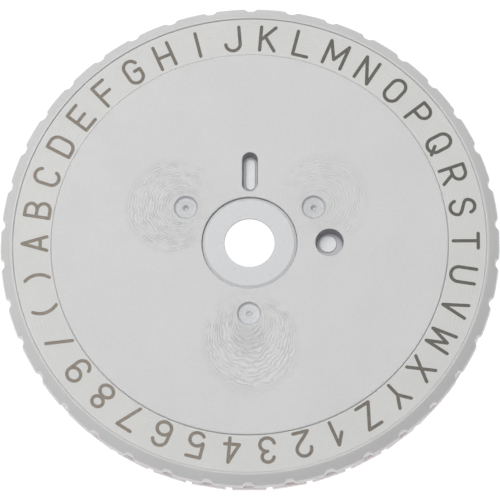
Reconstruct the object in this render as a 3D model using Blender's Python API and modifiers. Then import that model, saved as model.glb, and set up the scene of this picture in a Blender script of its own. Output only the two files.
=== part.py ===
"""Interchangeable character wheel of an embossing label maker, lying on its back with the dial up.

A rigid dial disc carries the lettered ring on top and, in a groove under its notched flange, a ring of
female dies. Below it a second disc is slit into spring fingers, one for each character, and each finger
carries a punch. The tape runs in the gap between the dies and the punches. A press in the tool lifts one
finger, and its punch drives the tape into the die above. A flanged hub bush is clamped on the tool's spindle,
and the wheel turns round it.

Metres, +Z up. The axis is Z, the rest face is z = 0, and azimuths run clockwise from +Y seen from above.
"""

import math

import bmesh
import bpy
from mathutils import Matrix, Vector

MM = 0.001

# Characters, clockwise from the notch at +Y. A character is read a quarter turn before the press.
CHARACTERS = "KLMNOPQRSTUVWXYZ123456789/()ABCDEFGHIJ"
WORDS = {"/": "slash", "(": "paren_open", ")": "paren_close"}
COUNT = len(CHARACTERS)
PITCH = 2 * math.pi / COUNT
READ_TO_PRESS = COUNT / 4
STEPS = 2 * COUNT

# Levels above the rest face.
CAP_TOP = 1.1 * MM
FINGER_BOTTOM = 1.2 * MM
FINGER_TOP = 2.2 * MM
TAPE_GAP = 0.6 * MM
DISC_BOTTOM = FINGER_TOP + TAPE_GAP
FACE = DISC_BOTTOM + 5.2 * MM
FLANGE_TOP = FACE - 1.2 * MM
FLANGE_BOTTOM = FLANGE_TOP - 1.1 * MM
RING_TOP = FACE - 0.2 * MM
RING_SEAT = FACE - 0.76 * MM
WEB_BOTTOM = FACE - 1.5 * MM
DIES_TOP = DISC_BOTTOM + 3.3 * MM
COUNTERBORE = 0.2 * MM
HUB_FLANGE = 1.0 * MM
HUB_WEB = 0.3 * MM

# Radii from the axis out.
SPINDLE_HOLE = 4.0 * MM
SOCKET = 6.35 * MM
BARREL = 6.95 * MM
FLANGE = 7.5 * MM
COUNTERBORE_WALL = 7.65 * MM
CAP_BORE = 9.1 * MM
BOSS = 17.0 * MM
CORE_EDGE = 19.85 * MM
HINGE = 20.0 * MM
FINGER_ROOT = 20.15 * MM
CAP_EDGE = 22.0 * MM
CAP_CHAMFER = 0.3 * MM
WEB_EDGE = 30.2 * MM
DIES_IN = 31.0 * MM
RING_IN = 31.84 * MM
RING_OUT = 37.88 * MM
RING_CHAMFER = 0.08 * MM
DIES_OUT = 38.2 * MM
FACE_EDGE = 38.3 * MM
SKIRT = 38.9 * MM
FINGER_TIP = 39.1 * MM
RIM = 40.0 * MM

# Clearances.
LAYER = 0.1 * MM
RING_GAP = 0.06 * MM
RUNNING = 0.15 * MM

# Rim notches: flat at the bottom, with round corners and sloping flanks.
NOTCH_DEPTH = 0.46 * MM
NOTCH_HALF_FLOOR = 0.5 * MM
NOTCH_HALF_MOUTH = 1.05 * MM
NOTCH_CORNER = 0.3 * MM

# Drive slot and drive hole in the dial. The slit disc has a pad in each as its floor, and a boss on each pad.
SLOT_AT = 11.87 * MM
SLOT_WIDTH = 2.5 * MM
SLOT_LENGTH = 6.6 * MM
DRIVE_AT = 12.8 * MM
DRIVE_HOLE = 2.25 * MM
DRIVE_DEPTH = 2.06 * MM
KEY_WIDTH = 1.2 * MM
KEY_LENGTH = 5.3 * MM
PEG = 1.3 * MM
PEG_AT = (12.52 * MM, 0.23 * MM)
BOSS_RISE = 0.25 * MM

# Moulding gates on the dial, with a screw behind each one.
GATE_AZIMUTHS = [math.radians(60), math.radians(180), math.radians(300)]
GATE_AT = 11.83 * MM
GATE_PAD = 1.925 * MM
GATE_DEPTH = 0.4 * MM
SCREW_SHANK = 0.85 * MM
SCREW_HEAD = 1.7 * MM
SCREW_HEAD_BOTTOM = 0.15 * MM
SCREW_HEAD_EDGE = 0.25 * MM
SCREW_HEAD_TOP = 0.95 * MM
SCREW_NECK = 0.95 * MM
CROSS_ARM = 1.0 * MM
CROSS_HALF = 0.16 * MM
CROSS_DEPTH = 0.45 * MM
SCREW_TOP = 6.2 * MM
SCREW_GAP = 0.12 * MM
SCREW_STEPS = 16

# Fingers.
SLIT_HALF = 0.48 * MM
BLANK_HALF = 6.0 * MM
FLEXURE_BOTTOM = 1.45 * MM
FLEXURE_TOP = 1.95 * MM
FLEXURE_END = 27.5 * MM
HEAD_START = 29.0 * MM
PUNCH_IN = 33.6 * MM
PUNCH_OUT = 37.0 * MM
PUNCH_HALF = 1.3 * MM
PUNCH_RISE = 0.35 * MM
POCKET_IN = 33.2 * MM
POCKET_OUT = 37.4 * MM
POCKET_HALF = 1.6 * MM
POCKET_DEPTH = 0.7 * MM

# Retaining ring and washer on the bush's back end.
BUSH_BOTTOM = 0.1 * MM
GROOVE_LOW = 0.32 * MM
GROOVE_HIGH = 0.78 * MM
GROOVE_RADIUS = 6.65 * MM
CLIP_LOW = 0.375 * MM
CLIP_HIGH = 0.725 * MM
CLIP_IN = 6.75 * MM
CLIP_OUT = 7.85 * MM
CLIP_HALF_GAP = math.radians(22)
LUG_RADIUS = 0.85 * MM
LUG_AT = 8.0 * MM
LUG_HOLE = 0.4 * MM
WASHER_LOW = 0.86 * MM
WASHER_OUT = 8.9 * MM

COLOURS = {
    "dial_plastic": ((0.62, 0.63, 0.63), 0.45, 0.0),
    "index_plastic": ((0.66, 0.67, 0.67), 0.4, 0.0),
    "hub_plastic": ((0.62, 0.64, 0.67), 0.35, 0.0),
    "finger_plastic": ((0.70, 0.66, 0.67), 0.4, 0.0),
    "die_plastic": ((0.36, 0.37, 0.38), 0.4, 0.0),
    "spring_steel": ((0.45, 0.45, 0.46), 0.3, 1.0),
    "zinc_steel": ((0.60, 0.60, 0.58), 0.35, 1.0),
}


def clear_scene():
    for item in list(bpy.data.objects):
        bpy.data.objects.remove(item, do_unlink=True)


def new_collection(name):
    collection = bpy.data.collections.new(name)
    bpy.context.scene.collection.children.link(collection)
    return collection


def make_material(name):
    colour, roughness, metallic = COLOURS[name]
    material = bpy.data.materials.new(name)
    material.use_nodes = True
    shader = material.node_tree.nodes["Principled BSDF"]
    shader.inputs["Base Color"].default_value = (*colour, 1.0)
    shader.inputs["Roughness"].default_value = roughness
    shader.inputs["Metallic"].default_value = metallic
    material.diffuse_color = (*colour, 1.0)
    return material


def place(radius, azimuth, z=0.0):
    """The point at that radius and clockwise azimuth."""
    return Vector((radius * math.sin(azimuth), radius * math.cos(azimuth), z))


def finger_azimuth(index):
    """Where the finger of the character with that index stands: a whole number of pitches."""
    return (index + 0.5 + READ_TO_PRESS) * PITCH


def arc(centre, radius, start, end, steps):
    """Points on an arc in the plane, with both ends; angles run anticlockwise from +X."""
    angles = [start + (end - start) * i / steps for i in range(steps + 1)]
    return [(centre[0] + radius * math.cos(a), centre[1] + radius * math.sin(a)) for a in angles]


def circle(centre, radius, steps):
    """Points on a circle, half a step off the axes so that none meets a spoke of the turned faces."""
    half_step = math.pi / steps
    return arc(centre, radius, half_step, 2 * math.pi + half_step, steps)[:-1]


def turned_outline(points, azimuth):
    """An outline drawn along +X, turned to that clockwise azimuth."""
    turn = math.pi / 2 - azimuth
    c, s = math.cos(turn), math.sin(turn)
    return [(x * c - y * s, x * s + y * c) for x, y in points]


def rectangle(x0, x1, half):
    return [(x0, -half), (x1, -half), (x1, half), (x0, half)]


def stadium(middle, length, width, steps):
    """A slot's outline along +X, with round ends."""
    half, reach = width / 2, (length - width) / 2
    far = arc((middle + reach, 0), half, -math.pi / 2, math.pi / 2, steps)
    near = arc((middle - reach, 0), half, math.pi / 2, 3 * math.pi / 2, steps)
    return far + near


def link(item, collection, material=None):
    collection.objects.link(item)
    if material:
        item.data.materials.append(material)
    return item


def as_cutter(item):
    item.hide_render = True
    item.display_type = "WIRE"
    return item


def boolean(item, other, operation="DIFFERENCE"):
    modifier = item.modifiers.new(operation.lower() + "_" + other.name, "BOOLEAN")
    modifier.operation = operation
    modifier.solver = "EXACT"
    modifier.object = other
    return item


def shade(item, angle=35):
    item.data.shade_smooth()
    item.data.set_sharp_from_angle(angle=math.radians(angle))


def turned(name, profile, collection, material=None, steps=STEPS):
    """A closed profile of (radius, z), running down its outer side, turned round Z."""
    mesh = bpy.data.meshes.new(name)
    edges = [(i, (i + 1) % len(profile)) for i in range(len(profile))]
    mesh.from_pydata([(r, 0.0, z) for r, z in profile], edges, [])
    item = link(bpy.data.objects.new(name, mesh), collection, material)
    screw = item.modifiers.new("turn", "SCREW")
    screw.axis = "Z"
    screw.angle = 2 * math.pi
    screw.steps = steps
    screw.render_steps = steps
    screw.use_merge_vertices = True
    screw.merge_threshold = 1e-7
    screw.use_smooth_shade = False
    return item


def plate(name, outlines, low, high, collection, material=None):
    """Flat outlines in the XY plane, made solid from z = low to z = high."""
    curve = bpy.data.curves.new(name, "CURVE")
    curve.dimensions = "2D"
    curve.fill_mode = "BOTH"
    curve.extrude = (high - low) / 2
    for points in outlines:
        spline = curve.splines.new("POLY")
        spline.points.add(len(points) - 1)
        for point, (x, y) in zip(spline.points, points):
            point.co = (x, y, 0.0, 1.0)
        spline.use_cyclic_u = True
    drawn = bpy.data.objects.new(name + "_outline", curve)
    collection.objects.link(drawn)
    drawn.location.z = (low + high) / 2
    item = solid_copy(drawn, name, collection, material)
    bpy.data.objects.remove(drawn, do_unlink=True)
    return item


def solid_copy(source, name, collection, material=None):
    """The evaluated shape of an object as a plain mesh in world space."""
    bpy.context.view_layer.update()
    depsgraph = bpy.context.evaluated_depsgraph_get()
    mesh = bpy.data.meshes.new_from_object(source.evaluated_get(depsgraph))
    mesh.transform(source.matrix_world)
    mesh.name = name
    mesh.materials.clear()
    bm = bmesh.new()
    bm.from_mesh(mesh)
    bmesh.ops.remove_doubles(bm, verts=bm.verts, dist=1e-7)
    bmesh.ops.recalc_face_normals(bm, faces=bm.faces)
    bm.to_mesh(mesh)
    bm.free()
    return link(bpy.data.objects.new(name, mesh), collection, material)


def notch_outline():
    """A notch drawn along +X and open past the rim."""
    slope = math.atan2(NOTCH_HALF_MOUTH - NOTCH_HALF_FLOOR, NOTCH_DEPTH)
    reach = NOTCH_DEPTH
    flank = (RIM + reach, NOTCH_HALF_MOUTH + reach * math.tan(slope))
    middle = RIM - NOTCH_DEPTH + NOTCH_CORNER
    side = NOTCH_HALF_FLOOR - NOTCH_CORNER * math.tan(math.pi / 4 - slope / 2)
    left = arc((middle, side), NOTCH_CORNER, math.pi / 2 + slope, math.pi, 2)
    right = arc((middle, -side), NOTCH_CORNER, math.pi, 3 * math.pi / 2 - slope, 2)
    return [flank] + left + right + [(flank[0], -flank[1])]


def dial_disc(parts, cutters):
    groove_top = DIES_TOP + LAYER
    seat = FACE - COUNTERBORE - HUB_FLANGE - LAYER
    profile = [
        (FACE_EDGE, FACE),
        (RIM, FLANGE_TOP),
        (RIM, FLANGE_BOTTOM),
        (SKIRT, FLANGE_BOTTOM),
        (SKIRT, DISC_BOTTOM),
        (DIES_OUT, DISC_BOTTOM),
        (DIES_OUT, groove_top),
        (DIES_IN, groove_top),
        (DIES_IN, DISC_BOTTOM),
        (WEB_EDGE, DISC_BOTTOM),
        (WEB_EDGE, WEB_BOTTOM),
        (BOSS, WEB_BOTTOM),
        (BOSS, DISC_BOTTOM),
        (BARREL + RUNNING, DISC_BOTTOM),
        (BARREL + RUNNING, seat),
        (COUNTERBORE_WALL, seat),
        (COUNTERBORE_WALL, FACE),
        (RING_IN - RING_GAP, FACE),
        (RING_IN - RING_GAP, RING_SEAT),
        (RING_OUT + RING_GAP, RING_SEAT),
        (RING_OUT + RING_GAP, FACE),
    ]
    disc = turned("dial_disc", profile, parts, make_material("dial_plastic"))
    notches = [turned_outline(notch_outline(), n * PITCH) for n in range(COUNT)]
    rim = plate("rim_notches", notches, FLANGE_BOTTOM - MM, FACE + MM, cutters)
    slot = turned_outline(stadium(SLOT_AT, SLOT_LENGTH, SLOT_WIDTH, 8), 0)
    hole = circle((DRIVE_AT, 0), DRIVE_HOLE, 24)
    drive = plate("drive_openings", [slot, hole], FINGER_TOP - MM, FACE + MM, cutters)
    spots = [place(GATE_AT, azimuth) for azimuth in GATE_AZIMUTHS]
    pads = [circle(spot, GATE_PAD, 24) for spot in spots]
    gates = plate("gate_pads", pads, FACE - GATE_DEPTH, FACE + MM, cutters)
    holes = [circle(spot, SCREW_SHANK + SCREW_GAP, 12) for spot in spots]
    pilots = plate("pilot_holes", holes, FINGER_TOP - MM, SCREW_TOP + LAYER, cutters)
    for cutter in (rim, drive, gates, pilots):
        boolean(disc, as_cutter(cutter))
    return disc


def index_ring(parts):
    profile = [
        (RING_OUT - RING_CHAMFER, RING_TOP),
        (RING_OUT, RING_TOP - RING_CHAMFER),
        (RING_OUT, RING_SEAT + LAYER),
        (RING_IN, RING_SEAT + LAYER),
        (RING_IN, RING_TOP),
    ]
    return turned("index_ring", profile, parts, make_material("index_plastic"))


def die_ring(parts, cutters):
    profile = [
        (DIES_OUT - RUNNING, DIES_TOP),
        (DIES_OUT - RUNNING, DISC_BOTTOM),
        (DIES_IN + RUNNING, DISC_BOTTOM),
        (DIES_IN + RUNNING, DIES_TOP),
    ]
    ring = turned("die_ring", profile, parts, make_material("die_plastic"))
    pocket = rectangle(POCKET_IN, POCKET_OUT, POCKET_HALF)
    outlines = [turned_outline(pocket, n * PITCH) for n in range(COUNT)]
    top = DISC_BOTTOM + POCKET_DEPTH
    pockets = plate("die_pockets", outlines, DISC_BOTTOM - MM, top, cutters)
    return boolean(ring, as_cutter(pockets))


def hub_bush(parts):
    top = FACE - COUNTERBORE
    web = top - HUB_WEB
    shoulder = top - HUB_FLANGE
    profile = [
        (FLANGE, top),
        (FLANGE, shoulder),
        (BARREL, shoulder),
        (BARREL, GROOVE_HIGH),
        (GROOVE_RADIUS, GROOVE_HIGH),
        (GROOVE_RADIUS, GROOVE_LOW),
        (BARREL, GROOVE_LOW),
        (BARREL, BUSH_BOTTOM),
        (SOCKET, BUSH_BOTTOM),
        (SOCKET, web),
        (SPINDLE_HOLE, web),
        (SPINDLE_HOLE, top),
    ]
    return turned("hub_bush", profile, parts, make_material("hub_plastic"), 48)


def retaining_ring(parts):
    """An open ring with a lug at each end, and a plier hole in each lug."""
    start, end = CLIP_HALF_GAP, 2 * math.pi - CLIP_HALF_GAP
    lug_turn = LUG_RADIUS / LUG_AT
    outer = arc((0, 0), CLIP_OUT, start + lug_turn, end - lug_turn, 24)
    inner = arc((0, 0), CLIP_IN, end, start, 26)
    lugs = []
    for angle, side in ((end, 1), (start, -1)):
        centre = (LUG_AT * math.cos(angle), LUG_AT * math.sin(angle))
        sweep = arc(centre, LUG_RADIUS, angle - side * 0.5 * math.pi, angle + side * 0.35 * math.pi, 6)
        lugs.append(sweep if side > 0 else sweep[::-1])
    outline = outer + lugs[0] + inner + lugs[1]
    eyes = [
        circle((LUG_AT * math.cos(angle), LUG_AT * math.sin(angle)), LUG_HOLE, 10)
        for angle in (start, end)
    ]
    steel = make_material("spring_steel")
    return plate("retaining_ring", [outline] + eyes, CLIP_LOW, CLIP_HIGH, parts, steel)


def thrust_washer(parts):
    top = FINGER_BOTTOM - LAYER
    profile = [
        (WASHER_OUT, top),
        (WASHER_OUT, WASHER_LOW),
        (BARREL + RUNNING, WASHER_LOW),
        (BARREL + RUNNING, top),
    ]
    return turned("thrust_washer", profile, parts, make_material("spring_steel"), 40)


def finger_hub(parts, cutters):
    """The middle of the slit disc, which the screws clamp to the dial disc."""
    top = DISC_BOTTOM - LAYER
    profile = [
        (BOSS, top),
        (BOSS, FINGER_TOP),
        (CORE_EDGE, FINGER_TOP),
        (CORE_EDGE, FINGER_BOTTOM),
        (BARREL + RUNNING, FINGER_BOTTOM),
        (BARREL + RUNNING, top),
    ]
    hub = turned("finger_hub", profile, parts, make_material("finger_plastic"))
    slot_pad = turned_outline(stadium(SLOT_AT, SLOT_LENGTH - 2 * RUNNING, SLOT_WIDTH - 2 * RUNNING, 8), 0)
    hole_pad = circle((DRIVE_AT, 0), DRIVE_HOLE - RUNNING, 24)
    key = turned_outline(stadium(SLOT_AT, KEY_LENGTH, KEY_WIDTH, 6), 0)
    peg = circle(PEG_AT, PEG, 20)
    middle = (FINGER_BOTTOM + FINGER_TOP) / 2
    floor = FACE - DRIVE_DEPTH
    pads = plate("drive_pads", [slot_pad, hole_pad], middle, floor, cutters)
    bosses = plate("drive_bosses", [key, peg], floor - BOSS_RISE, floor + BOSS_RISE, cutters)
    for raised in (pads, bosses):
        boolean(hub, as_cutter(raised), "UNION")
    spots = [place(GATE_AT, azimuth) for azimuth in GATE_AZIMUTHS]
    holes = [circle(spot, SCREW_NECK + SCREW_GAP, 12) for spot in spots]
    through = plate("screw_holes", holes, FINGER_BOTTOM - MM, top + MM, cutters)
    return boolean(hub, as_cutter(through))


def screw_spindle(name, grow, low, high, collection, material=None):
    """A countersunk screw's turned body, or its clearance when grow is above zero."""
    profile = [
        (SCREW_SHANK + grow, high),
        (SCREW_SHANK + grow, SCREW_HEAD_TOP),
        (SCREW_HEAD + grow, SCREW_HEAD_EDGE),
        (SCREW_HEAD + grow, low),
    ]
    mesh = bpy.data.meshes.new(name)
    points = [(0.0, 0.0, high)] + [(r, 0.0, z) for r, z in profile] + [(0.0, 0.0, low)]
    mesh.from_pydata(points, [(i, i + 1) for i in range(len(points) - 1)], [])
    item = link(bpy.data.objects.new(name, mesh), collection, material)
    screw = item.modifiers.new("turn", "SCREW")
    screw.axis = "Z"
    screw.steps = SCREW_STEPS
    screw.render_steps = SCREW_STEPS
    screw.use_merge_vertices = True
    screw.merge_threshold = 1e-7
    screw.use_smooth_shade = False
    return item


def back_cap(parts, cutters):
    """The clamp plate that the wheel lies on."""
    profile = [
        (CAP_EDGE, CAP_TOP),
        (CAP_EDGE, CAP_CHAMFER),
        (CAP_EDGE - CAP_CHAMFER, 0.0),
        (CAP_BORE + CAP_CHAMFER, 0.0),
        (CAP_BORE, CAP_CHAMFER),
        (CAP_BORE, CAP_TOP),
    ]
    cap = turned("back_cap", profile, parts, make_material("dial_plastic"))
    for number, azimuth in enumerate(GATE_AZIMUTHS, start=1):
        name = f"countersink_{number}"
        sink = screw_spindle(name, SCREW_GAP, -MM, CAP_TOP + MM, cutters)
        sink.location = place(GATE_AT, azimuth)
        boolean(cap, as_cutter(sink))
    return cap


def back_screws(parts, cutters):
    steel = make_material("zinc_steel")
    low = SCREW_HEAD_BOTTOM
    cross = rectangle(-CROSS_ARM, CROSS_ARM, CROSS_HALF)
    upright = [(y, x) for x, y in cross][::-1]
    for number, azimuth in enumerate(GATE_AZIMUTHS, start=1):
        screw = screw_spindle(f"back_screw_{number}", 0.0, low, SCREW_TOP, parts, steel)
        screw.location = place(GATE_AT, azimuth)
        for label, outline in (("a", cross), ("b", upright)):
            name = f"recess_{number}{label}"
            recess = plate(name, [outline], low - MM, low + CROSS_DEPTH, cutters)
            recess.location = place(GATE_AT, azimuth)
            boolean(screw, as_cutter(recess))


def finger_outline():
    """The blade's plan along +X: straight sides beside each slit, an arc at the tip."""
    turn = PITCH / 2

    def edge(radius):
        along = math.sqrt(radius**2 - SLIT_HALF**2)
        x = along * math.cos(turn) + SLIT_HALF * math.sin(turn)
        y = along * math.sin(turn) - SLIT_HALF * math.cos(turn)
        return x, y

    root = edge(FINGER_ROOT)
    tip = edge(FINGER_TIP)
    spread = math.atan2(tip[1], tip[0])
    return [(root[0], -root[1])] + arc((0, 0), FINGER_TIP, -spread, spread, 4) + [root]


def finger_mesh(cutters):
    """One finger along +X with its origin on the hinge line; all fingers share it."""
    side = [
        (FINGER_ROOT - MM, FLEXURE_TOP),
        (FLEXURE_END, FLEXURE_TOP),
        (HEAD_START, FINGER_TOP),
        (RIM, FINGER_TOP),
        (RIM, FINGER_BOTTOM),
        (HEAD_START, FINGER_BOTTOM),
        (FLEXURE_END, FLEXURE_BOTTOM),
        (FINGER_ROOT - MM, FLEXURE_BOTTOM),
    ]
    blade = plate("finger_side", [side], -BLANK_HALF, BLANK_HALF, cutters)
    blade.data.transform(Matrix.Rotation(math.pi / 2, 4, "X"))
    plan = plate("finger_plan", [finger_outline()], 0.0, FACE, cutters)
    boolean(blade, as_cutter(plan), "INTERSECT")
    pad = rectangle(PUNCH_IN, PUNCH_OUT, PUNCH_HALF)
    middle = (FINGER_BOTTOM + FINGER_TOP) / 2
    punch = plate("finger_punch", [pad], middle, FINGER_TOP + PUNCH_RISE, cutters)
    boolean(as_cutter(blade), as_cutter(punch), "UNION")
    finger = solid_copy(blade, "finger", cutters)
    mesh = finger.data
    bpy.data.objects.remove(finger, do_unlink=True)
    hinge_height = (FLEXURE_BOTTOM + FLEXURE_TOP) / 2
    mesh.transform(Matrix.Translation((-HINGE, 0.0, -hinge_height)))
    mesh.materials.append(make_material("finger_plastic"))
    return mesh


def fingers(parts, cutters):
    mesh = finger_mesh(cutters)
    hinge_height = (FLEXURE_BOTTOM + FLEXURE_TOP) / 2
    for index, character in enumerate(CHARACTERS):
        azimuth = finger_azimuth(index)
        finger = bpy.data.objects.new("finger_" + WORDS.get(character, character), mesh)
        finger.location = place(HINGE, azimuth, hinge_height)
        finger.rotation_euler.z = math.pi / 2 - azimuth
        parts.objects.link(finger)


def main():
    clear_scene()
    parts = new_collection("embossing_wheel")
    cutters = new_collection("cutters")
    dial_disc(parts, cutters)
    index_ring(parts)
    die_ring(parts, cutters)
    hub_bush(parts)
    retaining_ring(parts)
    thrust_washer(parts)
    finger_hub(parts, cutters)
    back_cap(parts, cutters)
    back_screws(parts, cutters)
    fingers(parts, cutters)
    for item in parts.objects:
        shade(item)


main()
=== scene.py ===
"""Looks of an embossing label maker's character wheel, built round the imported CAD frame.

Sizes in the building functions are millimetres in the row frame, and become metres when a mesh is made. The
axis is Z, and azimuths run clockwise from +Y seen from above. The wheel's sizes repeat the CAD source's.
"""

import math

import bmesh
import bpy
import numpy as np
from mathutils import Matrix, Quaternion, Vector
from mathutils.geometry import delaunay_2d_cdt


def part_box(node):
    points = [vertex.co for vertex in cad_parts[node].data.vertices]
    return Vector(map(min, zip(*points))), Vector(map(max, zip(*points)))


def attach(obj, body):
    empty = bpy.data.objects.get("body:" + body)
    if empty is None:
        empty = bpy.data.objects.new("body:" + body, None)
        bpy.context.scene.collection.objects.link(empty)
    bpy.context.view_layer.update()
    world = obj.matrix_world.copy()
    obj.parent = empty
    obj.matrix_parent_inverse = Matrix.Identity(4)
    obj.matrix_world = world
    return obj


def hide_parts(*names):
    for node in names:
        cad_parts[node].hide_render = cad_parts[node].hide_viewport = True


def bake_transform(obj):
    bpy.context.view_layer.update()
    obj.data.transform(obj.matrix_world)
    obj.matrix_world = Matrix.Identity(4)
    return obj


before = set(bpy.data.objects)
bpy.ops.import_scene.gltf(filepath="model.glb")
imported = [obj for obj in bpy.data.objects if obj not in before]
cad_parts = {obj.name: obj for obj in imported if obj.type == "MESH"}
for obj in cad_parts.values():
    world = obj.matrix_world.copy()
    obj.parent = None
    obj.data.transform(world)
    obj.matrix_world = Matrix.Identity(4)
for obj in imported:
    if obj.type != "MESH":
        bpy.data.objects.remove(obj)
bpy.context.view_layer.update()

MM = 0.001

# Characters, clockwise from the notch at +Y. A character is read a quarter turn before the press.
CHARACTERS = "KLMNOPQRSTUVWXYZ123456789/()ABCDEFGHIJ"
WORDS = {"/": "slash", "(": "paren_open", ")": "paren_close"}
COUNT = len(CHARACTERS)
PITCH = 2 * math.pi / COUNT
READ_TO_PRESS = COUNT / 4

# Levels.
BARREL_END = 0.1
CLIP_GROOVE_BOTTOM = 0.32
CLIP_GROOVE_TOP = 0.78
CAP_TOP = 1.1
FINGER_BOTTOM = 1.2
FLEXURE_BOTTOM = 1.45
FLEXURE_TOP = 1.95
FINGER_TOP = 2.2
CORE_TOP = 2.7
DISC_BOTTOM = 2.8
GROOVE_TOP = 6.2
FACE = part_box("dial_disc")[1].z / MM
FLANGE_TOP = FACE - 1.2
FLANGE_BOTTOM = FACE - 2.3
WEB_BOTTOM = FACE - 1.5
RING_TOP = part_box("index_ring")[1].z / MM
RING_SEAT = FACE - 0.76
HUB_TOP = FACE - 0.2
HUB_SHOULDER = HUB_TOP - 1.0
BUSH_SEAT = HUB_SHOULDER - 0.1
HUB_WEB = HUB_TOP - 0.3
DRIVE_FLOOR = FACE - 2.06

# Radii.
SPINDLE_HOLE = 4.0
SOCKET = 6.35
BARREL_GROOVE = 6.65
BARREL = 6.95
BARREL_BORE = 7.1
HUB_BEVEL = 7.12
HUB_EDGE = 7.58
COUNTERBORE = 7.65
CAP_BORE = 9.1
BOSS = 17.0
CORE_EDGE = 19.85
CAP_GROOVE_IN = 18.6
CAP_GROOVE_OUT = 20.4
CAP_GROOVE_DEPTH = 0.22
CAP_EDGE = 22.0
WEB_EDGE = 30.2
GROOVE_IN = 31.0
RING_IN = 31.84
RING_OUT = 37.93
RING_GAP = 0.004
GROOVE_OUT = 38.2
FACE_EDGE = 38.3
LIP_ROUND = 0.95
SKIRT = 38.9
FINGER_TIP = 39.3
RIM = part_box("dial_disc")[1].x / MM
SLIT_HALF = 0.48

# Rim notches.
NOTCH_DEPTH = 0.52
NOTCH_HALF_FLOOR = 0.5
NOTCH_HALF_MOUTH = 1.05
NOTCH_REACH = 1.4
NOTCH_CORNER = 0.12
NOTCH_SOFTNESS = 0.1
EDGE_FILLET = 0.14
# How far in from the rim and up from the skirt the flange's painted highlight, a lighter finish, reaches.
FLANGE_HIGHLIGHT_BAND = 0.13

# Openings in the dial.
SLOT_AT = 11.87
SLOT_HALF_WIDTH = 1.25
SLOT_HALF_LENGTH = 3.3
DRIVE_AT = 12.8
DRIVE_HOLE = 2.25
SLOT_BOSS_AT = (0.06, SLOT_AT + 0.12)
HOLE_BOSS_AT = (DRIVE_AT - 0.3, 0.26)
LIP = 0.1
LIP_STEPS = 5
GATE_AT = 11.83
GATE_PAD = 1.93
GATE_AZIMUTHS = [math.radians(60), math.radians(180), math.radians(300)]
GATE_POSTS = [0.0, 0.16, 0.0]

# Characters on the index ring.
GLYPH_UNIT = 1.165
GLYPH_TOP = 3.41
GLYPH_RADIUS = 34.52
STROKE_HALF = 0.275
ENGRAVED = 0.06

# The marking is a little off the ring's centre and turned against the notches.
MARK_SHIFT = (0.055, 0.09)
MARK_TURN = -0.0038

TAU = 2 * math.pi
WELD = 1e-4
SHARP_ANGLE = math.radians(38)


# ---------------- meshes


def polar(radius, azimuth):
    """x and y of a point at that radius and azimuth."""
    return radius * math.sin(azimuth), radius * math.cos(azimuth)


def add_object(name, data):
    """An object with that data, in the scene."""
    item = bpy.data.objects.new(name, data)
    bpy.context.scene.collection.objects.link(item)
    return item


class Shell:
    """Faces in millimetres, welded into one mesh when it is made."""

    def __init__(self):
        self.points = []
        self.faces = []
        self.finishes = []

    def add(self, points, faces, finish=0):
        start = len(self.points)
        self.points.extend(tuple(p) for p in points)
        self.faces.extend(tuple(start + i for i in face) for face in faces)
        self.finishes.extend([finish] * len(faces))

    def loft(self, loops, finish=0, close=False):
        """Quads between loops that have the same number of points. close joins the last loop to the first."""
        loops = [np.asarray(loop, float) for loop in loops]
        if close:
            loops.append(loops[0])
        n = len(loops[0])
        faces = []
        for row in range(len(loops) - 1):
            a, b = row * n, (row + 1) * n
            faces.extend((a + i, a + (i + 1) % n, b + (i + 1) % n, b + i) for i in range(n))
        self.add(np.concatenate(loops), faces, finish)

    def cap(self, loop, finish=0):
        """One face over a loop."""
        self.add(loop, [tuple(range(len(loop)))], finish)

    def solid(self, loops, finish=0):
        """A loft with both ends closed."""
        self.loft(loops, finish)
        self.cap(loops[0], finish)
        self.cap(loops[-1], finish)

    def make(self, name, finishes):
        """The object in metres, with its doubles merged and its sharp edges marked."""
        mesh = bpy.data.meshes.new(name)
        mesh.from_pydata([(x * MM, y * MM, z * MM) for x, y, z in self.points], [], self.faces)
        mesh.polygons.foreach_set("material_index", self.finishes)
        bm = bmesh.new()
        bm.from_mesh(mesh)
        bmesh.ops.remove_doubles(bm, verts=bm.verts, dist=WELD * MM)
        bmesh.ops.dissolve_degenerate(bm, edges=bm.edges, dist=0.1 * WELD * MM)
        bmesh.ops.recalc_face_normals(bm, faces=bm.faces)
        bm.to_mesh(mesh)
        bm.free()
        mesh.shade_smooth()
        mesh.set_sharp_from_angle(angle=SHARP_ANGLE)
        item = add_object(name, mesh)
        for finish in finishes:
            mesh.materials.append(finish)
        weighted = item.modifiers.new("even_shading", "WEIGHTED_NORMAL")
        weighted.keep_sharp = True
        return item


def rounded(corners, steps=4, closed=False):
    """A profile through (r, z, radius) corners, with an arc at each corner that has a radius."""
    out = []
    last = len(corners) - 1
    for i, (r, z, radius) in enumerate(corners):
        if radius == 0 or (not closed and i in (0, last)):
            out.append((r, z))
            continue
        here = np.array((r, z))
        previous, following = corners[i - 1], corners[(i + 1) % len(corners)]
        before = np.array(previous[:2]) - here
        after = np.array(following[:2]) - here
        sides = ((np.linalg.norm(before), previous[2]), (np.linalg.norm(after), following[2]))
        reach = min(max(0.49 * size, 0.98 * size - other) for size, other in sides)
        before /= np.linalg.norm(before)
        after /= np.linalg.norm(after)
        half = 0.5 * math.acos(max(-1.0, min(1.0, float(before @ after))))
        length = min(radius / math.tan(half), reach)
        centre = here + (before + after) / np.linalg.norm(before + after) * (length / math.cos(half))
        start = here + before * length - centre
        end = here + after * length - centre
        swing = math.pi - 2 * half
        for s in range(steps + 1):
            t = s / steps
            point = (math.sin((1 - t) * swing) * start + math.sin(t * swing) * end) / math.sin(swing)
            out.append(tuple(centre + point))
    return out


def even_turns(count):
    """Azimuths all the way round."""
    return np.arange(count) * TAU / count


def lathe_loops(profile, turns, limit=None):
    """One loop for each (r, z) of the profile. limit is the most that a radius may be at each turn."""
    loops = []
    for r, z in profile:
        radius = r if limit is None else soft_minimum(r, limit, NOTCH_SOFTNESS)
        loops.append(at_level(np.column_stack((radius * np.sin(turns), radius * np.cos(turns))), z))
    return loops


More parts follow.
